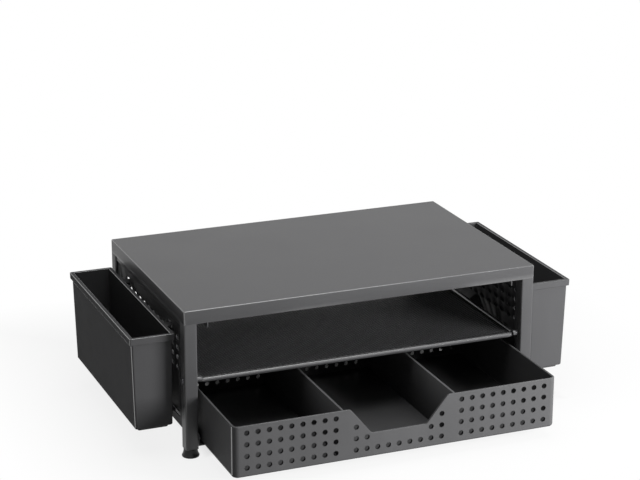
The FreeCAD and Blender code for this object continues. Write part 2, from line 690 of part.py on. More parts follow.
def make_holders():
    """Tapered open boxes with a rim, a stepped bottom, hooks and pegs."""
    taper_out = "holder_taper_outer"
    taper_end = "holder_taper_end"
    low_x = ("%s - body_outer" % taper_out, "-body_inner - %s" % taper_end)
    low_y = ("%s - body_half" % taper_end, "body_half - %s" % taper_end)
    high_x = ("-body_outer", "-body_inner")
    high_y = ("-body_half", "body_half")
    step_top = "holder_bottom + holder_step_height"
    body = tapered("holder_body", (step_top, "holder_top"), low_x, low_y, high_x, high_y)
    body = rounded("holder_body_corners", body, size("holder_corner"), steep)
    body = rounded("holder_body_round", body, size("holder_foot_round"), level_at(size_of(step_top)))
    step = block("holder_step", ("%s + holder_step_inset" % low_x[0], "%s - holder_step_inset" % low_x[1]),
                 ("%s + holder_step_inset" % low_y[0], "%s - holder_step_inset" % low_y[1]),
                 ("holder_bottom", step_top))
    step = rounded("holder_step_round", step, size("holder_corner"), steep)
    rim = block("holder_rim", ("-holder_outer", "-holder_inner"), ("-holder_half", "holder_half"),
                ("holder_top - holder_rim_height", "holder_top"))
    rim = rounded("holder_rim_round", rim, size("holder_rim_corner"), steep)
    solid = fuse("holder_solid", [body, step, rim])
    pocket = tapered("holder_pocket", (step_top + " + holder_floor", "holder_top + %s" % OVERSHOOT),
                     ("%s + holder_wall" % low_x[0], "%s - holder_wall" % low_x[1]),
                     ("%s + holder_wall" % low_y[0], "%s - holder_wall" % low_y[1]),
                     ("holder_wall - body_outer", "-body_inner - holder_wall"),
                     ("holder_wall - body_half", "body_half - holder_wall"))
    pocket = rounded("holder_pocket_round", pocket, max(size("holder_corner") - size("holder_wall"), 0.5), steep)
    shell = cut("holder_shell", solid, pocket)
    wall_middle = "-body_inner - holder_wall / 2"
    fittings = []
    for name, side in (("front", "-"), ("rear", "")):
        span = ("%supper_slot_spread / 2 - hook_width / 2" % side, "%supper_slot_spread / 2 + hook_width / 2" % side)
        seat = "upper_slot_bottom + hook_seat_gap"
        fittings.append(block("hook_neck_" + name, (wall_middle, "hook_fit + hook_tongue - panel_back"), span,
                              (seat, "%s + hook_neck" % seat)))
        fittings.append(block("hook_tongue_" + name, ("hook_fit - panel_back", "hook_fit + hook_tongue - panel_back"),
                              span, ("%s - hook_drop" % seat, "%s + hook_neck" % seat)))
        span = ("%speg_y - peg_width / 2" % side, "%speg_y + peg_width / 2" % side)
        fittings.append(block("peg_" + name, (wall_middle, "-panel_back"), span,
                              ("lower_slot_bottom + hook_fit", "lower_slot_bottom + hook_fit + peg_height")))
    left = fuse("pen_holder_left", [shell] + fittings)
    return {"pen_holder_left": left, "pen_holder_right": mirrored("pen_holder_right", left, "x")}


def build():
    """Make every sub-part, check the document and write the files."""
    fill_sheet()
    parts = {}
    for maker in (make_top_panel, make_legs, make_feet, make_side_rails, make_top_nuts, make_side_panels,
                  make_shelf, make_runners, make_screws, make_drawer, make_holders):
        parts.update(maker())
    parts.update(make_shelf_lugs(parts["shelf_rim"]))
    doc.recompute()
    for item in doc.Objects:
        for word in ("Invalid", "Error"):
            if word in item.State:
                raise RuntimeError("%s is %s" % (item.Name, word))
    os.makedirs("parts", exist_ok=True)
    for node, item in parts.items():
        item.Label = node
        shape = item.Shape
        if shape.isNull() or not shape.isValid():
            raise RuntimeError("%s has no valid shape" % node)
        shape.exportStep("parts/%s.step" % node)
        print("%-24s %2d solids %10.1f mm3" % (node, len(shape.Solids), shape.Volume))


build()
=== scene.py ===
# %% [markdown]
# A two-tier laptop stand with a drawer and two pen holders, dressed for a close look.
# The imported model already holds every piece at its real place. It could be shown as it
# is, but a machine part's model has razor edges and no surface, and light gives that away
# at once. So the sheet-metal pieces stay and get softened edges and a powder coat, and
# the pieces whose form carries the looks are modelled again here, each inside the space
# that its solid holds: the tray, the pen holders, the feet, the mesh and the fasteners.
# %% Frame
import bmesh
import bpy
import math
from mathutils import Matrix, Vector


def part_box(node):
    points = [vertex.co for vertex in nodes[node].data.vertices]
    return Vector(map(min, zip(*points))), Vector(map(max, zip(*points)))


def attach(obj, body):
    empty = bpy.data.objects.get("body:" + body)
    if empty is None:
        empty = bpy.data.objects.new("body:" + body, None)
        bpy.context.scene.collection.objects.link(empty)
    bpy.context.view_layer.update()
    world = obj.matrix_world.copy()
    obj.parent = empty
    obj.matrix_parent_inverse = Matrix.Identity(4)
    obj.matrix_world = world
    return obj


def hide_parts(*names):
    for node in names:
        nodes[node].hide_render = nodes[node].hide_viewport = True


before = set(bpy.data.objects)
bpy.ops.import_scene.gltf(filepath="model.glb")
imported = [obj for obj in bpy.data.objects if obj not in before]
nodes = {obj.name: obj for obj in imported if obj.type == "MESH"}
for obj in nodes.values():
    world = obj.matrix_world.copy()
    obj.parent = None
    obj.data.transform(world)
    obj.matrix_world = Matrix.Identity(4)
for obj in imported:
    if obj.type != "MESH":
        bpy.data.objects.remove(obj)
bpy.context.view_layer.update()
MM = 0.001

# %% [markdown]
# Every finish below is made of shader nodes. Wiring them one by one is long to read, so
# one small class wraps a socket, and Python's own operators on it add the Math nodes.
# A formula such as 0.4 + 0.1 * grain then stands in the script as it would on paper.
# %% A socket that can be reckoned with


class Signal:
    """The output of a shader node; operators on it add Math nodes."""

    def __init__(self, finish, socket):
        self.finish = finish
        self.socket = socket

    def maths(self, operation, *values):
        sockets = dict(enumerate(values))
        return self.finish.node("ShaderNodeMath", {"operation": operation}, sockets)

    def __add__(self, other):
        return self.maths("ADD", self, other)

    __radd__ = __add__

    def __mul__(self, other):
        return self.maths("MULTIPLY", self, other)

    __rmul__ = __mul__

    def __sub__(self, other):
        return self.maths("SUBTRACT", self, other)

    def __rsub__(self, other):
        return self.maths("SUBTRACT", other, self)

    def size(self):
        return self.maths("ABSOLUTE", self)


# %% [markdown]
# A finish is one material: a Principled shader and the nodes that feed it. All finishes
# here need the same few: places on the piece, noise, a mix of two colours, a stretched
# range, the way that the surface faces, and relief. So one class makes those, and one
# method of it makes any other node from its type, its settings and its sockets' values.
# %% A finish and its nodes
EDGE_TURN = (0.20, 0.32)
START_TURN, SIDE_LEAN, POLISH_FADE = (0.05, 0.11), (0.1, 0.3), 0.1


class Finish:
    """One material, with a Principled shader that its signals feed.

    Its color and constants are its plain values, for viewers that don't read nodes.
    """

    def __init__(self, name, color, **constants):
        self.material = bpy.data.materials.new(name)
        self.material.use_nodes = True
        self.tree = self.material.node_tree
        self.shader = self.tree.nodes["Principled BSDF"]
        self.shader.inputs["Base Color"].default_value = (*color, 1)
        for socket, value in constants.items():
            self.shader.inputs[socket.replace("_", " ")].default_value = value

    def node(self, kind, settings=None, inputs=None, output=0):
        """Any shader node: its settings first, then the values or links of its sockets."""
        made = self.tree.nodes.new(kind)
        for setting, value in (settings or {}).items():
            setattr(made, setting, value)
        for socket, value in (inputs or {}).items():
            self.plug(made.inputs[socket], value)
        return Signal(self, made.outputs[output])

    def plug(self, socket, value):
        if isinstance(value, Signal):
            self.tree.links.new(value.socket, socket)
        else:
            socket.default_value = value

    def feed(self, socket, value):
        self.plug(self.shader.inputs[socket], value)

    def place(self):
        """Positions in metres, the same on every piece whatever its mesh."""
        return self.node("ShaderNodeTexCoord", output=3)

    def noise(self, scale, detail=2.0, roughness=0.5, at=None):
        """Soft random grain, about 1 / scale metres wide, from 0 to 1."""
        spot = at or self.place()
        sockets = {"Vector": spot, "Scale": scale, "Detail": detail, "Roughness": roughness}
        return self.node("ShaderNodeTexNoise", {}, sockets)

    def between(self, share, low, high):
        """A colour from low to high."""
        sockets = {0: share, 6: (*low, 1), 7: (*high, 1)}
        return self.node("ShaderNodeMix", {"data_type": "RGBA"}, sockets, output=2)

    def span(self, signal, low, high, to_low=0.0, to_high=1.0):
        """The part of a signal from low to high, stretched to a new range."""
        sockets = {0: signal, 1: low, 2: high, 3: to_low, 4: to_high}
        return self.node("ShaderNodeMapRange", {}, sockets)

    def parts(self, vector):
        """The x, y and z of a vector."""
        split = self.node("ShaderNodeSeparateXYZ", {}, {0: vector}).socket.node
        return [Signal(self, socket) for socket in split.outputs]

    def normal_sizes(self):
        """How far the surface faces along x, y and z, each from 0 to 1."""
        normal = self.node("ShaderNodeTexCoord", output=1)
        return [part.size() for part in self.parts(normal)]

    def rounds(self):
        """0 on flats that lie along the axes, 1 on the rounds between them."""
        x, y, z = self.normal_sizes()
        return self.span(x * y + y * z + x * z, *EDGE_TURN)

    def round_starts(self, end):
        """1 on the part of a round that is next to a side or top face, else 0."""
        x, y, z = self.normal_sizes()
        turned = x * y + y * z + x * z
        aside = self.span(x.maths("MAXIMUM", x, z) - y, *SIDE_LEAN)
        begun = self.span(turned, *START_TURN)
        goes_on = self.span(turned, end, end + POLISH_FADE, 1.0, 0.0)
        return aside * begun * goes_on

    def relief(self, height, distance, strength):
        """Fine relief: a height from 0 to 1 that stands for a distance in metres."""
        sockets = {"Height": height, "Distance": distance, "Strength": strength}
        self.feed("Normal", self.node("ShaderNodeBump", {}, sockets))


def shade(color, factor):
    """A colour made darker or lighter."""
    return tuple(channel * factor for channel in color)


# %% [markdown]
# Powder coat is sprayed on as dust and baked, so it flows into a skin that is even from
# afar and has two scales close by: a gentle orange peel, a few millimetres wide, and a
# fine grain far under a millimetre. A flat dark colour would look like paper. Here both
# scales go into a bump, and the grain also breaks up the gloss and the tone a little.
# Hands and books rub the edges smooth, so they carry a gloss that the flats don't have.
# %% Powder coat
PEEL_SCALE, GRAIN_SCALE, CLOUD_SCALE = 240.0, 1900.0, 14.0
FRAME_BLACK = (0.047, 0.047, 0.0485)
WIRE_BLACK = (0.040, 0.040, 0.0415)
NET_BLACK = (0.024, 0.024, 0.025)


def powder_coat(name, color, gloss, grain_depth, shine, rubbed_edges):
    """The coat's IOR is far above a lacquer's: so thin an edge has to mirror the room."""
    finish = Finish(name, color, Roughness=gloss, Specular_IOR_Level=shine,
                    Coat_Roughness=0.22, Coat_IOR=2.2)
    if rubbed_edges:
        finish.feed("Coat Weight", rubbed_edges * finish.rounds())
    peel = finish.noise(PEEL_SCALE, detail=1.0)
    grain = finish.noise(GRAIN_SCALE, detail=3.0, roughness=0.6)
    cloud = finish.noise(CLOUD_SCALE, detail=3.0)
    rubbed = finish.span(cloud, 0.35, 0.75)
    tone = 0.55 * cloud + 0.45 * grain
    finish.feed("Base Color", finish.between(tone, shade(color, 0.78), shade(color, 1.35)))
    finish.feed("Roughness", gloss - 0.05 + 0.08 * grain + 0.05 * rubbed)
    finish.relief(0.65 * grain + 0.35 * peel, grain_depth, 0.55)
    print("finish", name, "with", len(finish.tree.nodes), "nodes")
    return finish.material


top_coat = powder_coat("top_powder_coat", FRAME_BLACK, gloss=0.42,
                       grain_depth=0.10 * MM, shine=0.27, rubbed_edges=0.7)
frame_coat = powder_coat("frame_powder_coat", FRAME_BLACK, gloss=0.42,
                         grain_depth=0.10 * MM, shine=0.28, rubbed_edges=0.10)
panel_coat = powder_coat("panel_powder_coat", FRAME_BLACK, gloss=0.55,
                         grain_depth=0.10 * MM, shine=0.10, rubbed_edges=0)
wire_coat = powder_coat("wire_powder_coat", WIRE_BLACK, gloss=0.30,
                        grain_depth=0.05 * MM, shine=0.6, rubbed_edges=0.45)
net_coat = powder_coat("net_powder_coat", NET_BLACK, gloss=0.30,
                       grain_depth=0.05 * MM, shine=0.6, rubbed_edges=0)

# %% [markdown]
# The tray and the pen holders are injection moulded. Their moulds are polished and then
# etched lightly, so the plastic is a satin black whose shine wanders a little where the
# melt flowed, and the fine etch shows only in highlights. The flow is stretched along the
# height, the way that the melt ran up the walls. The etch never reaches into the mould's
# rounds, so a gloss coat lies there, found from the direction that the surface faces.
# %% Moulded plastic
FLOW_SCALE, ETCH_SCALE, HANDLED_SCALE = 22.0, 2600.0, 60.0
FLOW_STRETCH = (1.0, 1.0, 0.35)
TRAY_BLACK = (0.064, 0.064, 0.0655)
# The walls of the holes are the tray's plastic; this darker black on them is painted shade inside
# the holes.
BORE_PAINTED_SHADE = (0.018, 0.018, 0.0185)
HOLDER_BLACK = (0.053, 0.053, 0.0545)


def moulded_plastic(name, color, gloss, shine, polish_end):
    """polish_end is how far the polish runs into the rounds; at 0 there is none."""
    finish = Finish(name, color, Roughness=gloss, Specular_IOR_Level=shine,
                    Coat_Roughness=0.2, Coat_IOR=2.5)
    if polish_end:
        finish.feed("Coat Weight", finish.round_starts(polish_end))
    stretched = finish.node("ShaderNodeMapping", {},
                            {"Vector": finish.place(), "Scale": FLOW_STRETCH})
    flow = finish.noise(FLOW_SCALE, detail=4.0, roughness=0.55, at=stretched)
    etch = finish.noise(ETCH_SCALE, detail=2.0)
    handled = finish.span(finish.noise(HANDLED_SCALE, detail=5.0, roughness=0.65), 0.45, 0.8)
    tone = 0.7 * flow + 0.3 * etch
    finish.feed("Base Color", finish.between(tone, shade(color, 0.82), shade(color, 1.25)))
    finish.feed("Roughness", gloss - 0.04 + 0.07 * flow + 0.06 * handled)
    finish.relief(0.8 * etch + 0.2 * flow, 0.04 * MM, 0.5)
    print("finish", name, "with", len(finish.tree.nodes), "nodes")
    return finish.material


tray_plastic = moulded_plastic("tray_plastic", TRAY_BLACK,
                               gloss=0.45, shine=0.02, polish_end=0.27)
divider_plastic = moulded_plastic("divider_plastic", TRAY_BLACK,
                                  gloss=0.45, shine=0.02, polish_end=0)
# The bore walls get a darker copy of the tray's plastic: painted shade in the holes.
bore_painted_shade = moulded_plastic("bore_painted_shade", BORE_PAINTED_SHADE,
                               gloss=0.50, shine=0.02, polish_end=0)
holder_plastic = moulded_plastic("holder_plastic", HOLDER_BLACK,
                                 gloss=0.50, shine=0.01, polish_end=0.48)

# %% [markdown]
# The feet are a glossier and deeper black plastic than the rest, with a fine grain and a
# trace of dust that dulls them in places. The screws and nuts are black oxide steel: a
# metal whose thin dark skin still shines like metal where the light hits it, so the
# shader is metallic with a dark colour, and small scuffs make it brighter and smoother.
# %% Feet and fasteners
SOLE_GRAIN, DUST_SCALE, SCUFF_SCALE = 1300.0, 140.0, 900.0


def glossy_plastic(name):
    finish = Finish(name, (0.014, 0.014, 0.0145), Roughness=0.32, Specular_IOR_Level=0.25)
    grain = finish.noise(SOLE_GRAIN, detail=3.0)
    dust = finish.span(finish.noise(DUST_SCALE, detail=4.0, roughness=0.7), 0.5, 0.85)
    clean, dusty = (0.012, 0.012, 0.0125), (0.024, 0.024, 0.023)
    finish.feed("Base Color", finish.between(dust, clean, dusty))
    finish.feed("Roughness", 0.27 + 0.08 * grain + 0.1 * dust)
    finish.relief(grain, 0.04 * MM, 0.5)
    return finish.material


def black_oxide(name):
    finish = Finish(name, (0.08, 0.08, 0.085), Metallic=0.85, Roughness=0.35)
    scuffs = finish.span(finish.noise(SCUFF_SCALE, detail=4.0, roughness=0.7), 0.52, 0.72)
    skin_tone, scuffed = (0.06, 0.06, 0.064), (0.2, 0.2, 0.205)
    finish.feed("Base Color", finish.between(scuffs, skin_tone, scuffed))
    finish.feed("Roughness", 0.42 - 0.14 * scuffs)
    finish.relief(scuffs, 0.03 * MM, 0.4)
    return finish.material


foot_plastic = glossy_plastic("foot_plastic")
fastener_steel = black_oxide("fastener_steel")
print("finishes", foot_plastic.name, "and", fastener_steel.name)

# %% [markdown]
# Sheet metal never has a razor edge: the fold, the shears and the coat each leave a small
# round, and that round is what catches the thin bright line along every edge. The frame's
# solids keep their meshes, so two modifiers do it: Weld joins the corners that the import
# split, and Bevel rounds every edge sharper than a set angle, by a fraction of a
# millimetre. The wires' rounds are many narrow flats, so their angle is wider, and only
# their cut ends are rounded.
# %% Soft edges on the frame's solids
SAME_PLACE = 0.01 * MM
SIDES = ("left", "right")
CORNERS = ("front_left", "front_right", "rear_left", "rear_right")


def soften(node, material, width, steps=2, angle=35):
    """Round a solid's sharp edges and give it its finish."""
    piece = nodes[node]
    piece.data.materials.clear()
    piece.data.materials.append(material)
    weld = piece.modifiers.new("weld", "WELD")
    weld.merge_threshold = SAME_PLACE
    bevel = piece.modifiers.new("edge_round", "BEVEL")
    bevel.width = width
    bevel.segments = steps
    bevel.limit_method = "ANGLE"
    bevel.angle_limit = math.radians(angle)
    bevel.harden_normals = True
    piece.data.shade_smooth()


soften("top_panel", top_coat, width=0.4 * MM)
for corner in CORNERS:
    soften("leg_" + corner, frame_coat, width=0.3 * MM)
for side in SIDES:
    soften("side_rail_" + side, frame_coat, width=0.3 * MM)
    soften("side_panel_" + side, panel_coat, width=0.18 * MM)
    soften("shelf_lugs_" + side, wire_coat, width=0.25 * MM)
    soften("drawer_runner_" + side, frame_coat, width=0.25 * MM)
    soften("drawer_divider_" + side, divider_plastic, width=0.8 * MM, steps=3)
soften("shelf_rim", wire_coat, width=0.1 * MM, angle=60)
soften("shelf_support_wires", wire_coat, width=0.3 * MM, angle=60)
print("softened edges on", sum(1 for piece in nodes.values() if piece.modifiers), "nodes")

# %% [markdown]
# The tray, the holders and the feet are all rings joined into walls: a ring low on the
# outside, one at the lip, one back down inside. A box with a bevel could come close, but
# rings give each height its own inset, so the foot round, the lip and the inner fillet
# each get their own radius, and every quad lies along the wall as it should.
# %% Rings and skins


def ring(x_span, y_span, radius, steps, front_stops=()):
    """Points of a rounded rectangle, with extra ones along the front run."""
    points = []
    corners = (
        (x_span[0] + radius, y_span[0] + radius, 180),
        (x_span[1] - radius, y_span[0] + radius, 270),
        (x_span[1] - radius, y_span[1] - radius, 0),
        (x_span[0] + radius, y_span[1] - radius, 90),
    )
    for number, (x, y, start) in enumerate(corners):
        for step in range(steps + 1):
            turn = math.radians(start + 90 * step / steps)
            points.append((x + radius * math.cos(turn), y + radius * math.sin(turn)))
        if number == 0:
            points.extend((stop, y_span[0]) for stop in front_stops)
    return points


def bridge(shape, loops):
    """Join each loop of vertices to the next by quads; a loop of one vertex is a pole."""
    for near, far in zip(loops, loops[1:]):
        count = max(len(near), len(far))
        for step in range(count):
            after = (step + 1) % count
            corners = (near[step % len(near)], near[after % len(near)],
                       far[after % len(far)], far[step % len(far)])
            shape.faces.new(tuple(dict.fromkeys(corners)))


def mesh_from(shape, name):
    """Turn a bmesh's faces outwards, write it to a new mesh and free it."""
    bmesh.ops.recalc_face_normals(shape, faces=shape.faces)
    mesh = bpy.data.meshes.new(name)
    shape.to_mesh(mesh)
    shape.free()
    return mesh


def add_object(name, data):
    made = bpy.data.objects.new(name, data)
    bpy.context.scene.collection.objects.link(made)
    return made


def finished(name, mesh, material, body, slot, *replaced):
    """Link a mesh as a piece that rides on a body and stands for its nodes."""
    piece = add_object(name, mesh)
    mesh.materials.append(material)
    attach(piece, body)
    if replaced:
        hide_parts(*replaced)
    return piece


def skin(name, rings, material, body, slot, *replaced):
    """A closed shell through a list of rings of equal length, capped at both ends."""
    shape = bmesh.new()
    loops = [[shape.verts.new(point) for point in points] for points in rings]
    shape.faces.new(tuple(reversed(loops[0])))
    bridge(shape, loops)
    shape.faces.new(tuple(loops[-1]))
    return finished(name, mesh_from(shape, name), material, body, slot, *replaced)


print("a ring of six steps a corner has", len(ring((0, 1), (0, 1), 0.1, 6)), "points")

# %% [markdown]
# The tray is a low moulded box. Its foot has a wide round, its lip a small one, and the
# floor meets the walls in a fillet, as a mould needs. The front dips in the middle, so
# the rings near the lip follow the dip's outline: a point on the front wall takes its
# height from where it stands along the front. That keeps the lip's round all the way
# along the slanted edges, which a plain cut would leave sharp.
# %% Tray shell
LIP, WALL, FLOOR = 0.7 * MM, 2.4 * MM, 2.2 * MM
TRAY_CORNER, TIGHTEST_CORNER = 6.0 * MM, 1.2 * MM
FOOT_ROUND, TRAY_FILLET = 2.5 * MM, 1.6 * MM
DIP_TOP, DIP_BOTTOM, DIP_DEPTH = 48.3 * MM, 27.4 * MM, 25.9 * MM
DIP_SOFT, DIP_SHARES = 1.6 * MM, (-1.0, -0.5, 0.0, 0.5, 1.0)
tray_low, tray_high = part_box("drawer_tray")


def dip(x):
    """How far the front's edge lies under the walls' edge, at a place along it."""
    reach = abs(x)
    if reach >= DIP_TOP:
        return 0.0
    if reach <= DIP_BOTTOM:
        return DIP_DEPTH
    return DIP_DEPTH * (DIP_TOP - reach) / (DIP_TOP - DIP_BOTTOM)


def softened_dip(x):
    """The dip with its corners rounded, by averaging over a short stretch."""
    return sum(dip(x + DIP_SOFT * share) for share in DIP_SHARES) / len(DIP_SHARES)


def dip_stops():
    """Where along the front the rings need points of their own."""
    stops = [corner + DIP_SOFT * share for corner in (DIP_TOP, DIP_BOTTOM) for share in DIP_SHARES]
    return sorted(round(sign * stop, 6) for stop in stops for sign in (-1, 1))


FRONT_STOPS = dip_stops()


def tray_ring(inset, height, follows_dip):
    """One ring; near the lip its front run follows the dip."""
    x_span = (tray_low.x + inset, tray_high.x - inset)
    y_span = (tray_low.y + inset, tray_high.y - inset)
    radius = max(TRAY_CORNER - inset, TIGHTEST_CORNER)
    points = []
    for x, y in ring(x_span, y_span, radius, steps=8, front_stops=FRONT_STOPS):
        on_front = y < y_span[0] + SAME_PLACE
        drop = softened_dip(x) if follows_dip and on_front else 0.0
        points.append(Vector((x, y, height - drop)))
    return points


def quarter(steps):
    """Shares of a quarter round, as (sine, cosine) pairs."""
    turns = [math.pi / 2 * step / steps for step in range(steps + 1)]
    return [(math.sin(turn), math.cos(turn)) for turn in turns]


def tray_rings():
    """From the sole up the outside, over the lip and down inside to the floor."""
    low, lip, floor = tray_low.z, tray_high.z, tray_low.z + FLOOR
    stations = []
    for sine, cosine in quarter(5):
        stations.append((FOOT_ROUND * (1 - sine), low + FOOT_ROUND * (1 - cosine), False))
    for sine, cosine in quarter(3):
        stations.append((LIP * (1 - cosine), lip - LIP * (1 - sine), True))
    for sine, cosine in quarter(3):
        stations.append((WALL - LIP * (1 - sine), lip - LIP * (1 - cosine), True))
    for sine, cosine in quarter(4):
        stations.append((WALL + TRAY_FILLET * (1 - cosine),
                         floor + TRAY_FILLET * (1 - sine), False))
    return [tray_ring(*station) for station in stations]


tray = skin("tray_shell", tray_rings(), tray_plastic, "drawer", "drawer_plastic", "drawer_tray")
print("tray shell with", len(tray.data.polygons), "faces")

# %% [markdown]
# Two more tools come before the holes. A boolean cuts one shape out of another, and its
# result becomes the mesh itself, so that no cutter is left in the scene. And a moulding is
# smooth over its rounds but has creases at its rims: edges sharper than a set angle are
# marked sharp, and Weighted Normal keeps the large flats flat right up to the rounds.
# %% Cuts and creases


def cut_away(piece, cutter, **settings):
    """Cut one object's shape out of another's mesh, and drop the cutter."""
    cut = piece.modifiers.new("cut", "BOOLEAN")
    cut.operation = "DIFFERENCE"
    cut.solver = "EXACT"
    cut.object = cutter
    for setting, value in settings.items():
        setattr(cut, setting, value)
    graph = bpy.context.evaluated_depsgraph_get()
    shaped = bpy.data.meshes.new_from_object(piece.evaluated_get(graph))
    piece.modifiers.clear()
    piece.data = shaped
    bpy.data.objects.remove(cutter)


def smooth_by_angle(piece, degrees):
    """Smooth shading that still breaks at edges sharper than an angle."""
    mesh = piece.data
    mesh.shade_smooth()
    shape = bmesh.new()
    shape.from_mesh(mesh)
    for edge in shape.edges:
        if len(edge.link_faces) == 2:
            edge.smooth = edge.calc_face_angle(0.0) < math.radians(degrees)
    shape.to_mesh(mesh)
    shape.free()
    level = piece.modifiers.new("level_faces", "WEIGHTED_NORMAL")
    level.keep_sharp = True
    level.weight = 100


# %% [markdown]
# The round holes stand in three groups of nine by four, in the front and in the back
# wall. Each is cut by a short spindle: straight in the middle and flared at both faces of
# the wall, so the cut leaves a small chamfer that catches light, as the mould's pins do.
# All spindles are one mesh, so a single boolean makes the whole pattern.
# %% Holes of the tray
HOLE, FLARE, HOLE_SIDES = 2.25 * MM, 0.35 * MM, 20
CUT_PAST, EDGE_LAND = 1.0 * MM, 1.5 * MM
COLUMNS, ROWS, GROUPS = 9, 4, (-1, 0, 1)
PITCH_X, PITCH_Z, GROUP_GAP = 10.68 * MM, 11.24 * MM, 19.9 * MM
GROUP_STEP = (COLUMNS - 1) * PITCH_X + GROUP_GAP
FIRST_ROW = tray_low.z + 9.1 * MM


def spindle(shape, x, y, z):
    """Add one flared cutter along Y, for a wall whose near face is at y."""
    wide = HOLE + FLARE + CUT_PAST
    stations = ((-CUT_PAST, wide), (FLARE, HOLE), (WALL - FLARE, HOLE), (WALL + CUT_PAST, wide))
    loops = []
    for offset, radius in stations:
        loop = []
        for step in range(HOLE_SIDES):
            turn = 2 * math.pi * step / HOLE_SIDES
            spot = (x + radius * math.cos(turn), y + offset, z + radius * math.sin(turn))
            loop.append(shape.verts.new(spot))
        loops.append(loop)
    bridge(shape, loops)
    shape.faces.new(loops[0])
    shape.faces.new(loops[-1])


def hole_places():
    for group in GROUPS:
        for column in range(COLUMNS):
            for row in range(ROWS):
                x = group * GROUP_STEP + (column - (COLUMNS - 1) / 2) * PITCH_X
                yield x, FIRST_ROW + row * PITCH_Z


def clear_of_dip(x, z):
    """Whether a front hole leaves a land between itself and the dip's edge."""
    land = HOLE + EDGE_LAND
    dip_floor = tray_high.z - DIP_DEPTH
    edge = DIP_BOTTOM + max(z - dip_floor, 0.0) * (DIP_TOP - DIP_BOTTOM) / DIP_DEPTH
    return z + land < dip_floor or abs(x) > edge + land


spindles = bmesh.new()
cut_count = 0
for x, z in hole_places():
    walls = [tray_high.y - WALL]
    if clear_of_dip(x, z):
        walls.append(tray_low.y)
    for y in walls:
        spindle(spindles, x, y, z)
        cut_count += 1
cutter = add_object("hole_cutters", mesh_from(spindles, "hole_cutters"))
# The cut walls take the cutter's darker plastic, which is painted shade inside the holes.
cutter.data.materials.append(bore_painted_shade)
cut_away(tray, cutter, material_mode="TRANSFER")
smooth_by_angle(tray, degrees=30)
print("cut", cut_count, "holes; the tray now has", len(tray.data.polygons), "faces")

# %% [markdown]
# A pen holder is a tall narrow moulded box. From below: a small foot plate set back from
# the walls, a body that widens a little so it leaves its mould, a raised band round the
# mouth that stiffens it, and a rounded lip. Two hooks and two pegs on its inner wall hang
# it on the stand. The left and the right one mirror each other, so one function makes
# both, from the box of the solid that it stands for.
# %% Pen holder rings
HOLDER_WIDTH, HOLDER_WALL, POCKET_FILLET = 42.8 * MM, 2.0 * MM, 2.0 * MM
HOLDER_CORNER, RIM_CORNER = 2.0 * MM, 1.2 * MM
POCKET_CORNER, FLOOR_CORNER = 0.8 * MM, 1.3 * MM
RIM_HEIGHT, RIM_LIP, RIM_SOFT = 6.4 * MM, 1.7 * MM, 0.5 * MM
STEP_HEIGHT, STEP_INSET, HOLDER_FOOT_ROUND = 2.6 * MM, 3.5 * MM, 1.4 * MM
TAPER_OUT, TAPER_END = 2.4 * MM, 0.9 * MM
PLATE_EDGE = ((0.8, 0.0), (0.2, 0.25), (0.0, 0.8))
BAND_TURN = ((0.0, -0.4), (-0.15, -0.1))
HAIR = 0.001 * MM


def inner_side(low, high, out):
    """Where the mouth's side that faces the stand is."""
    return (low.x + HOLDER_WIDTH) if out < 0 else (high.x - HOLDER_WIDTH)


def holder_ring(low, high, out, inset, height, radius):
    """One ring; the walls lean in from the mouth down to the foot plate."""
    share_down = min(max((high.z - height) / (high.z - low.z - STEP_HEIGHT), 0.0), 1.0)
    lean = inset + TAPER_END * share_down
    outer = (low.x if out < 0 else high.x) - out * (inset + TAPER_OUT * share_down)
    x_span = sorted((outer, inner_side(low, high, out) + out * lean))
    y_span = (low.y + lean, high.y - lean)
    return [Vector((x, y, height)) for x, y in ring(x_span, y_span, radius, steps=6)]


def holder_rings(low, high, out):
    """From the middle of the foot plate up the outside, over the lip and down inside."""
    foot, foot_top = RIM_LIP + STEP_INSET, low.z + STEP_HEIGHT
    band_low = high.z - RIM_HEIGHT
    depth, floor = RIM_LIP + HOLDER_WALL, foot_top + FLOOR
    stations = [(foot + inset * MM, low.z + height * MM, HOLDER_CORNER)
                for inset, height in PLATE_EDGE]
    stations.append((foot, foot_top, HOLDER_CORNER))
    for sine, cosine in quarter(4):
        stations.append((RIM_LIP + HOLDER_FOOT_ROUND * (1 - sine),
                         foot_top + HOLDER_FOOT_ROUND * (1 - cosine), HOLDER_CORNER))
    for inset, height in BAND_TURN:
        stations.append((RIM_LIP + inset * MM, band_low + height * MM, HOLDER_CORNER))
    for sine, cosine in quarter(3):
        stations.append((RIM_SOFT * (1 - sine) + HAIR,
                         band_low + RIM_SOFT * (1 - cosine), RIM_CORNER))
    for sine, cosine in quarter(3):
        stations.append((RIM_SOFT * (1 - cosine) + HAIR,
                         high.z - RIM_SOFT * (1 - sine), RIM_CORNER))
    for sine, cosine in quarter(3):
        stations.append((depth - RIM_SOFT * (1 - sine),
                         high.z - RIM_SOFT * (1 - cosine), POCKET_CORNER))
    for sine, cosine in quarter(4):
        stations.append((depth + POCKET_FILLET * (1 - cosine),
                         floor + POCKET_FILLET * (1 - sine), FLOOR_CORNER))
    return [holder_ring(low, high, out, *station) for station in stations]


print("a holder has", len(holder_rings(*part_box("pen_holder_left"), -1)), "rings")

# %% [markdown]
# The hooks reach through slots in the stand's side panel and turn down behind it, and the
# pegs below keep the holder upright. Each is a small bar with softened edges, joined into
# the holder's mesh, so that a holder stays one piece.
# %% Hooks, pegs and both holders
HOOK_WIDTH, HOOK_NECK, HOOK_DROP, HOOK_TONGUE = 10.0 * MM, 3.0 * MM, 2.6 * MM, 1.6 * MM
HOOK_SPREAD, HOOK_SEAT = 65.0 * MM, 6.3 * MM
PEG_WIDTH, PEG_HEIGHT, PEG_END = 8.0 * MM, 2.4 * MM, 173.95 * MM
PEG_SPREAD, PEG_SEAT = 70.0 * MM, 5.5 * MM
FITTING_ROUND = 0.4 * MM


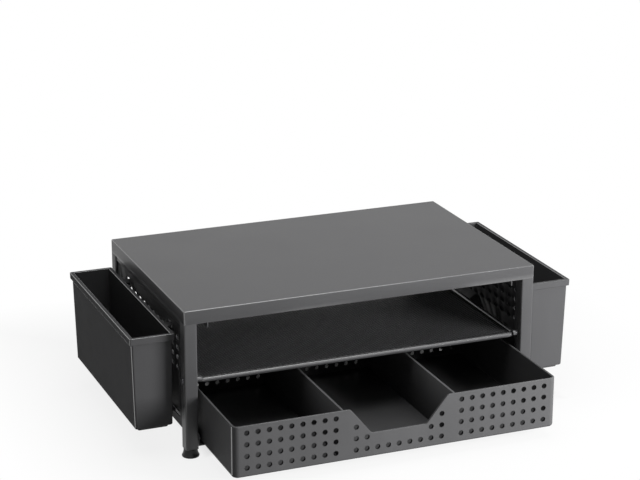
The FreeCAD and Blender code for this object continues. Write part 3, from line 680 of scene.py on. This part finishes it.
def rounded_box(low, high, radius):
    """A small bevelled box as a mesh."""
    shape = bmesh.new()
    bmesh.ops.create_cube(shape, size=1.0)
    low, high = Vector(low), Vector(high)
    placed = Matrix.Translation((high + low) / 2) @ Matrix.Diagonal((*(high - low), 1))
    bmesh.ops.transform(shape, matrix=placed, verts=shape.verts)
    bmesh.ops.bevel(shape, geom=shape.edges[:], offset=radius, segments=2,
                    affect="EDGES", profile=0.5)
    return mesh_from(shape, "rounded_box")


def join_meshes(piece, extra):
    """Add loose meshes to a piece's own mesh."""
    shape = bmesh.new()
    shape.from_mesh(piece.data)
    for mesh in extra:
        shape.from_mesh(mesh)
        bpy.data.meshes.remove(mesh)
    shape.to_mesh(piece.data)
    shape.free()


def holder_fittings(low, high, out):
    """Two hooks and two pegs between the inner wall and the stand's side panel."""
    wall = inner_side(low, high, out) + out * (RIM_LIP + 0.5 * HOLDER_WALL)
    tip = high.x if out < 0 else low.x
    middle = (low.y + high.y) / 2
    seat, peg_seat = high.z - HOOK_SEAT, low.z + PEG_SEAT
    meshes = []

    def add(ends, y, width, z_low, z_high):
        x_low, x_high = sorted(ends)
        meshes.append(rounded_box((x_low, y - width / 2, z_low),
                                  (x_high, y + width / 2, z_high), FITTING_ROUND))

    for sign in (-1, 1):
        hook_y, peg_y = middle + sign * HOOK_SPREAD, middle + sign * PEG_SPREAD
        add((wall, tip), hook_y, HOOK_WIDTH, seat, seat + HOOK_NECK)
        add((tip + out * HOOK_TONGUE, tip), hook_y, HOOK_WIDTH, seat - HOOK_DROP, seat + HOOK_NECK)
        add((wall, out * PEG_END), peg_y, PEG_WIDTH, peg_seat, peg_seat + PEG_HEIGHT)
    return meshes


for side, out in (("left", -1), ("right", 1)):
    low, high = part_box("pen_holder_" + side)
    holder = skin("pen_holder_%s_shell" % side, holder_rings(low, high, out), holder_plastic,
                  side + "_holder", "holder_plastic", "pen_holder_" + side)
    join_meshes(holder, holder_fittings(low, high, out))
    smooth_by_angle(holder, degrees=32)
    print("pen holder", side, "with", len(holder.data.polygons), "faces")

# %% [markdown]
# The shelf's floor is expanded mesh: a sheet slit and pulled open until it is a net of
# diamonds. A see-through texture would be light, but it has no thickness, and this net is
# looked at along its strands. Two families of thin slanting strips, one a hair above the
# other and each tipped a little, make the same net with real thickness and its two tones.
# A narrow border strip closes it, where it is welded to the rim.
# %% Shelf mesh
STRAND_PITCH, STRAND_WIDTH, STRAND_THICK = 2.9 * MM, 1.2 * MM, 0.9 * MM
STRAND_TIP = math.radians(14)
STRAND_SLOPE, STRAND_LIFT = 0.62, 0.12 * MM
BORDER, NET_CORNER = 3.0 * MM, 5.6 * MM
mesh_low, mesh_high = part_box("shelf_mesh")
NET_LEVEL = (mesh_low.z + mesh_high.z) / 2


def clipped_run(offset, slope, x_span, y_span):
    """The stretch of the line y = slope * x + offset inside a rectangle."""
    spots = []
    for x in x_span:
        y = slope * x + offset
        if y_span[0] <= y <= y_span[1]:
            spots.append((x, y))
    for y in y_span:
        x = (y - offset) / slope
        if x_span[0] < x < x_span[1]:
            spots.append((x, y))
    spots.sort()
    return (Vector((*spots[0], 0)), Vector((*spots[-1], 0))) if len(spots) > 1 else None


def add_strand(shape, start, end, level, tip):
    """A flat bar from start to end, tipped about its own length."""
    along = (end - start).normalized()
    across = Vector((-along.y, along.x, 0)) * math.cos(tip) + Vector((0, 0, math.sin(tip)))
    half_width = across * STRAND_WIDTH / 2
    half_thick = along.cross(across) * STRAND_THICK / 2
    ends = []
    for spot in (start, end):
        centre = Vector((spot.x, spot.y, level))
        ends.append([shape.verts.new(centre + half_width * a + half_thick * b)
                     for a, b in ((-1, -1), (1, -1), (1, 1), (-1, 1))])
    bridge(shape, ends)
    for corners in ends:
        shape.faces.new(corners)


def border_strip(shape):
    """A flat frame round the net."""
    loops = []
    for inset, lift in ((0.0, -1), (0.0, 1), (BORDER, 1), (BORDER, -1)):
        x_span = (mesh_low.x + inset, mesh_high.x - inset)
        y_span = (mesh_low.y + inset, mesh_high.y - inset)
        height = NET_LEVEL + lift * STRAND_THICK / 2
        loops.append([shape.verts.new((x, y, height))
                      for x, y in ring(x_span, y_span, NET_CORNER - inset, steps=5)])
    bridge(shape, loops + loops[:1])


def shelf_net():
    shape = bmesh.new()
    inset = BORDER / 2
    x_span = (mesh_low.x + inset, mesh_high.x - inset)
    y_span = (mesh_low.y + inset, mesh_high.y - inset)
    step = STRAND_PITCH * math.sqrt(1 + STRAND_SLOPE ** 2)
    reach = (y_span[1] - y_span[0]) / 2 + STRAND_SLOPE * (x_span[1] - x_span[0]) / 2
    count = int(reach / step)
    for sign in (1, -1):
        for number in range(-count, count + 1):
            offset = sum(y_span) / 2 + number * step
            run = clipped_run(offset, sign * STRAND_SLOPE, x_span, y_span)
            if run and (run[1] - run[0]).length > STRAND_PITCH:
                add_strand(shape, *run, NET_LEVEL + sign * STRAND_LIFT, sign * STRAND_TIP)
    border_strip(shape)
    return mesh_from(shape, "shelf_net")


net = finished("shelf_net", shelf_net(), net_coat, "frame", "shelf_steel", "shelf_mesh")
smooth_by_angle(net, degrees=30)
print("shelf net with", len(net.data.polygons), "faces")

# %% [markdown]
# A foot is turned round an upright axis: a neck under the leg, a flare that widens in a
# hollow curve, a short straight rim and a rounded edge on the desk. Its plug inside the
# leg can't be seen, but it is there, as on the solid. A curve of a few points, spun in
# equal steps, gives all of it.
# %% Feet
FOOT_SIDES, FOOT_HEIGHT, NECK = 48, 8.0 * MM, 6.5 * MM
SOLE = ((2.2, 0.3), (1.7, 0.0), (0.7, 0.0), (0.2, 0.2), (0.0, 0.7), (0.0, 1.5), (0.25, 1.9))
COLLAR = ((0.1, -0.5), (-0.1, -0.1), (-0.4, 0.0))
FLARE_STEPS, FLARE_HOLLOW = 8, 1.8
FLARE_INSET, FLARE_RISE = 0.35 * MM, FOOT_HEIGHT - 2.5 * MM
PLUG_HALF, PLUG_LENGTH, PLUG_OVERLAP, PLUG_ROUND = 5.1 * MM, 6.7 * MM, 0.5 * MM, 0.6 * MM


def foot_profile(base):
    """Radius and height pairs, from the middle of the sole up to the collar."""
    sole = [(base - inset * MM, height * MM) for inset, height in SOLE]
    flare_low, flare_base = sole[-1][1], base - FLARE_INSET
    points = [(0.0, sole[0][1])] + sole
    for step in range(1, FLARE_STEPS + 1):
        share = step / FLARE_STEPS
        radius = NECK + (flare_base - NECK) * (1 - share) ** FLARE_HOLLOW
        points.append((radius, flare_low + FLARE_RISE * share))
    points += [(NECK + out * MM, FOOT_HEIGHT + down * MM) for out, down in COLLAR]
    return points + [(0.0, FOOT_HEIGHT)]


def turned(profile, centre, sides):
    """A mesh spun about an upright axis; a point on the axis becomes one vertex."""
    shape = bmesh.new()
    loops = []
    for radius, height in profile:
        loop = []
        for step in range(sides if radius else 1):
            turn = 2 * math.pi * step / sides
            spot = Vector((radius * math.cos(turn), radius * math.sin(turn), height))
            loop.append(shape.verts.new(centre + spot))
        loops.append(loop)
    bridge(shape, loops)
    return mesh_from(shape, "turned")


for corner in CORNERS:
    low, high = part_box("foot_" + corner)
    centre = Vector(((low.x + high.x) / 2, (low.y + high.y) / 2, low.z))
    profile = foot_profile((high.x - low.x) / 2)
    foot = finished("foot_%s_turned" % corner, turned(profile, centre, FOOT_SIDES),
                    foot_plastic, "frame", "foot_plastic", "foot_" + corner)
    plug_low = Vector((-PLUG_HALF, -PLUG_HALF, FOOT_HEIGHT - PLUG_OVERLAP))
    plug_high = Vector((PLUG_HALF, PLUG_HALF, FOOT_HEIGHT + PLUG_LENGTH))
    join_meshes(foot, [rounded_box(centre + plug_low, centre + plug_high, PLUG_ROUND)])
    smooth_by_angle(foot, degrees=34)
print("turned", len(CORNERS), "feet of", len(foot.data.polygons), "faces each")

# %% [markdown]
# Screws are small, but a plain disc reads as a rivet at best. A pan head is a flat dome
# with a cross recess, which two crossed bars that taper inwards cut out of it. The screw
# is spun along its own axis, and two copies of it are set into each node's places, with
# their crosses at different angles, as a hand leaves them.
# %% Screws
HEAD_RADIUS, HEAD_HEIGHT, SHANK, SHANK_POINT = 3.0 * MM, 1.6 * MM, 1.5 * MM, 0.3 * MM
HEAD_RIM, DOME_RUN, SCREW_SIDES = 0.55, 1.1 * MM, 32
FIRST_SPIN, NEXT_SPIN = 0.4, 0.9
BAR_TOP = Vector((3.4, 0.75, 0.4)) * MM
BAR_FLOOR = Vector((2.0, 0.45, -1.1)) * MM


def screw_mesh(length):
    """A pan-head screw along +Z: head above zero, shank below."""
    profile = [(0.0, -length), (SHANK - SHANK_POINT, -length), (SHANK, SHANK_POINT - length),
               (SHANK, 0.0), (HEAD_RADIUS, 0.0), (HEAD_RADIUS, HEAD_RIM * HEAD_HEIGHT)]
    for sine, cosine in quarter(5)[1:]:
        profile.append((HEAD_RADIUS - DOME_RUN * (1 - cosine),
                        HEAD_HEIGHT * (HEAD_RIM + (1 - HEAD_RIM) * sine)))
    profile.append((0.0, HEAD_HEIGHT))
    return turned(profile, Vector((0, 0, 0)), SCREW_SIDES)


def cross_cutter():
    """Two crossed bars that narrow downwards."""
    shape = bmesh.new()
    for turn in (0.0, math.pi / 2):
        bar = bmesh.ops.create_cube(shape, size=1.0)["verts"]
        for vertex in bar:
            across, thick, level = BAR_FLOOR if vertex.co.z < 0 else BAR_TOP
            vertex.co = (vertex.co.x * across, vertex.co.y * thick, HEAD_HEIGHT + level)
        bmesh.ops.rotate(shape, verts=bar, matrix=Matrix.Rotation(turn, 3, "Z"))
    return mesh_from(shape, "cross_cutter")


def with_recess(mesh):
    """The screw's mesh with the cross cut out of its head."""
    blank = add_object("screw_blank", mesh)
    cut_away(blank, add_object("screw_cross", cross_cutter()), use_self=True)
    recessed = blank.data
    bpy.data.objects.remove(blank)
    return recessed


def copies(pattern, places, name):
    """One mesh with a copy of a pattern at each place."""
    shape = bmesh.new()
    for place in places:
        before = len(shape.verts)
        shape.from_mesh(pattern)
        shape.verts.ensure_lookup_table()
        bmesh.ops.transform(shape, matrix=place, verts=shape.verts[before:])
    return mesh_from(shape, name)


def drive_screws(node, head_at_high_x):
    """Set a node's two screws, one at each end along Y, heads towards the given side."""
    low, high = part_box(node)
    pattern = with_recess(screw_mesh(high.x - low.x - HEAD_HEIGHT))
    seat = (high.x - HEAD_HEIGHT) if head_at_high_x else (low.x + HEAD_HEIGHT)
    facing = Matrix.Rotation(math.radians(90 if head_at_high_x else -90), 4, "Y")
    places = []
    for number, y in enumerate((low.y + HEAD_RADIUS, high.y - HEAD_RADIUS)):
        spin = Matrix.Rotation(FIRST_SPIN + NEXT_SPIN * number, 4, "Z")
        places.append(Matrix.Translation((seat, y, (low.z + high.z) / 2)) @ facing @ spin)
    piece = finished(node + "_driven", copies(pattern, places, node), fastener_steel,
                     "frame", "fastener_steel", node)
    smooth_by_angle(piece, degrees=30)
    print(node, "with", len(piece.data.polygons), "faces")


drive_screws("shelf_screws_left", False)
drive_screws("shelf_screws_right", True)
drive_screws("runner_screws_left", True)
drive_screws("runner_screws_right", False)

# %% [markdown]
# A nut has its corners turned off at both ends, which comes from cutting the prism with a
# shallow cone. Here each corner's points are set a little lower than those in the middle
# of the flats, and a round face closes the ends. The four nuts are copies of one mesh.
# %% Nuts
NUT_POINTS, NUT_WIDTH, NUT_BORE = 24, 7.0 * MM, 2.02 * MM
NUT_CHAMFER, CORNER_DROP, FACE_EDGE, FACE_SHARE = 0.3 * MM, 0.45 * MM, 0.05 * MM, 0.97


def nut_circle(radius, height):
    turns = [2 * math.pi * step / NUT_POINTS for step in range(NUT_POINTS)]
    return [(radius * math.cos(turn), radius * math.sin(turn), height) for turn in turns]


def nut_hexagon(height, drop):
    """A hexagon ring, whose corners lie lower than the middles of its flats by drop."""
    points = []
    for step in range(NUT_POINTS):
        turn = 2 * math.pi * step / NUT_POINTS
        off_corner = abs((turn + math.pi / 6) % (math.pi / 3) - math.pi / 6)
        reach = NUT_WIDTH / 2 / math.cos(math.pi / 6 - off_corner)
        level = height - drop * max(0.0, 1 - off_corner / (math.pi / 12))
        points.append((reach * math.cos(turn), reach * math.sin(turn), level))
    return points


def nut_mesh(height):
    bore, mouth, face = NUT_BORE, NUT_BORE + NUT_CHAMFER, NUT_WIDTH / 2 * FACE_SHARE
    rings = [nut_circle(bore, NUT_CHAMFER), nut_circle(mouth, 0.0), nut_circle(face, 0.0),
             nut_hexagon(FACE_EDGE, -CORNER_DROP), nut_hexagon(height - FACE_EDGE, CORNER_DROP),
             nut_circle(face, height), nut_circle(mouth, height),
             nut_circle(bore, height - NUT_CHAMFER)]
    shape = bmesh.new()
    loops = [[shape.verts.new(point) for point in points] for points in rings]
    bridge(shape, loops + loops[:1])
    return mesh_from(shape, "nut")


def place_nuts():
    low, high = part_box("top_nuts")
    corner_reach, flat_reach = NUT_WIDTH / math.sqrt(3), NUT_WIDTH / 2
    places = [Matrix.Translation((x, y, low.z))
              for x in (low.x + corner_reach, high.x - corner_reach)
              for y in (low.y + flat_reach, high.y - flat_reach)]
    mesh = copies(nut_mesh(high.z - low.z), places, "top_nuts_turned")
    piece = finished("top_nuts_turned", mesh, fastener_steel, "frame", "fastener_steel", "top_nuts")
    smooth_by_angle(piece, degrees=25)
    print(len(places), "nuts with", len(piece.data.polygons), "faces")


place_nuts()

# %% [markdown]
# A studio's sweep runs up behind the object and is lit until it is plain white. Here the
# floor is a grey paint that takes the stand's shadow, and plain white is mixed into it:
# none in a box under the stand, most of it close by and all of it further out. The floor
# in that box shows only the shaded grey paint, so it is darker than the white around it:
# real shadow and painted shade at once. The white is given only to what looks at it: the
# camera, mirror rays and rays through glass. It never lights the black finish grey.
# %% Floor


def sight_rays(node, link):
    """1 for rays that look at a thing, 0 for those that only gather its light."""
    path = node("ShaderNodeLightPath")
    total = path.outputs["Is Camera Ray"]
    for kind in ("Is Glossy Ray", "Is Transmission Ray"):
        joined = node("ShaderNodeMath")
        joined.operation = "ADD"
        joined.use_clamp = True
        link(total, joined.inputs[0])
        link(path.outputs[kind], joined.inputs[1])
        total = joined.outputs[0]
    return total


FLOOR_SIZE, FLOOR_GREY, MOTTLE, MOTTLE_SCALE = 14.0, 0.50, 0.01, 3.0
# A box round the stand's footprint, fading at its edges, where no white is mixed in: painted shade
# under the stand.
PAINTED_SHADE_CENTRE, PAINTED_SHADE_HALF = (0.030, 0.070), (0.182, 0.138)
PAINTED_SHADE_EDGE_FROM, PAINTED_SHADE_EDGE_TO, NEAR_SHARE = -0.055, 0.010, 0.85
CLEAR_FROM, CLEAR_TO = 0.05, 0.18


def stage_floor():
    paint = Finish("floor_paint", (FLOOR_GREY,) * 3, Roughness=0.9)
    mottle = paint.noise(MOTTLE_SCALE, detail=3.0)
    darker, lighter = (FLOOR_GREY - MOTTLE,) * 3, (FLOOR_GREY + MOTTLE,) * 3
    paint.feed("Base Color", paint.between(mottle, darker, lighter))
    x, y, _ = paint.parts(paint.place())
    across = (x - PAINTED_SHADE_CENTRE[0]).size() - PAINTED_SHADE_HALF[0]
    along = (y - PAINTED_SHADE_CENTRE[1]).size() - PAINTED_SHADE_HALF[1]
    out = across.maths("MAXIMUM", across, along)
    sight = Signal(paint, sight_rays(paint.tree.nodes.new, paint.tree.links.new))
    plain = paint.node("ShaderNodeEmission", {}, {"Color": (1, 1, 1, 1), "Strength": 1.0})
    # Near the stand the white rises from none inside the box to NEAR_SHARE. The box is painted
    # shade over the real shadow on the grey paint.
    near = paint.span(out, PAINTED_SHADE_EDGE_FROM, PAINTED_SHADE_EDGE_TO, 0.0, NEAR_SHARE)
    far = paint.span(out, CLEAR_FROM, CLEAR_TO, 0.0, 1 - NEAR_SHARE)
    mixed = paint.node("ShaderNodeMixShader", {}, {
        0: sight * (near + far), 1: Signal(paint, paint.shader.outputs[0]), 2: plain})
    paint.plug(paint.tree.nodes["Material Output"].inputs["Surface"], mixed)
    bpy.ops.mesh.primitive_plane_add(size=FLOOR_SIZE, location=(0, 0, 0))
    floor = bpy.context.active_object
    floor.name = "floor"
    floor.data.materials.append(paint.material)


stage_floor()
print("the floor is plain white from", CLEAR_TO, "m out")

# %% [markdown]
# Two soft boxes are enough. The key is low at the front right, near enough that the
# fronts fade from right to left. It is hidden from mirror rays, or it would lie as a
# white patch on the top when seen from behind. A large one overhead lights the top and
# the drawer's inside. The left sides get neither and stay dark, which gives the stand its
# form. The thin bright lines need no lamp: they are the polished rounds of the moulded
# parts and the rubbed edges of the coat, which mirror the white room.
# %% Lamps


def area_lamp(name, place, target, size, power):
    lamp = bpy.data.lights.new(name, "AREA")
    lamp.shape = "RECTANGLE"
    lamp.size, lamp.size_y = size
    lamp.energy = power
    stand = add_object(name, lamp)
    stand.location = place
    aim = Vector(target) - Vector(place)
    stand.rotation_euler = aim.to_track_quat("-Z", "Y").to_euler()
    return stand


key = area_lamp("key_lamp", place=(0.66, -0.74, 0.30), target=(0.15, -0.10, 0.06),
                size=(0.40, 0.50), power=23.5)
key.visible_glossy = False
area_lamp("top_lamp", place=(0.05, -0.10, 1.10), target=(0.0, 0.0, 0.05),
          size=(1.0, 0.9), power=11.5)
print("lamps:", ", ".join(sorted(light.name for light in bpy.data.lights)))

# %% [markdown]
# The world gives a little light from everywhere, so that no corner goes fully black, and
# plain white to the rays that look at it.
# %% World
FILL = 0.04


def stage_world():
    world = bpy.data.worlds.new("studio")
    bpy.context.scene.world = world
    world.use_nodes = True
    tree = world.node_tree
    tree.nodes.clear()
    output = tree.nodes.new("ShaderNodeOutputWorld")
    chosen = tree.nodes.new("ShaderNodeMixShader")
    tree.links.new(sight_rays(tree.nodes.new, tree.links.new), chosen.inputs[0])
    for number, strength in ((1, FILL), (2, 1.0)):
        light = tree.nodes.new("ShaderNodeBackground")
        light.inputs["Color"].default_value = (1, 1, 1, 1)
        light.inputs["Strength"].default_value = strength
        tree.links.new(light.outputs[0], chosen.inputs[number])
    tree.links.new(chosen.outputs[0], output.inputs[0])


stage_world()
print("world fill", FILL)

# %% [markdown]
# The camera stands in front, to the left and above, far off with a long lens, as product
# pictures are taken: the lines stay almost parallel and the stand looks true to size.
# %% Camera
CAMERA_PLACE = Vector((-0.7112, -1.7049, 0.7722))
CAMERA_YAW, CAMERA_PITCH, CAMERA_ROLL = -22.21, -18.10, 0.17
LENS = 113.97


def add_camera():
    data = bpy.data.cameras.new("camera")
    data.lens = LENS
    data.sensor_width = 36.0
    data.clip_start = 0.05
    camera = add_object("camera", data)
    turn = Matrix.Rotation(math.radians(CAMERA_YAW), 4, "Z")
    tilt = Matrix.Rotation(math.radians(90 + CAMERA_PITCH), 4, "X")
    roll = Matrix.Rotation(math.radians(CAMERA_ROLL), 4, "Z")
    camera.matrix_world = Matrix.Translation(CAMERA_PLACE) @ turn @ tilt @ roll
    bpy.context.scene.camera = camera


add_camera()
print("camera", round(CAMERA_PLACE.length, 2), "m from the stand, lens", LENS, "mm")
bpy.context.scene.view_settings.view_transform = "Standard"
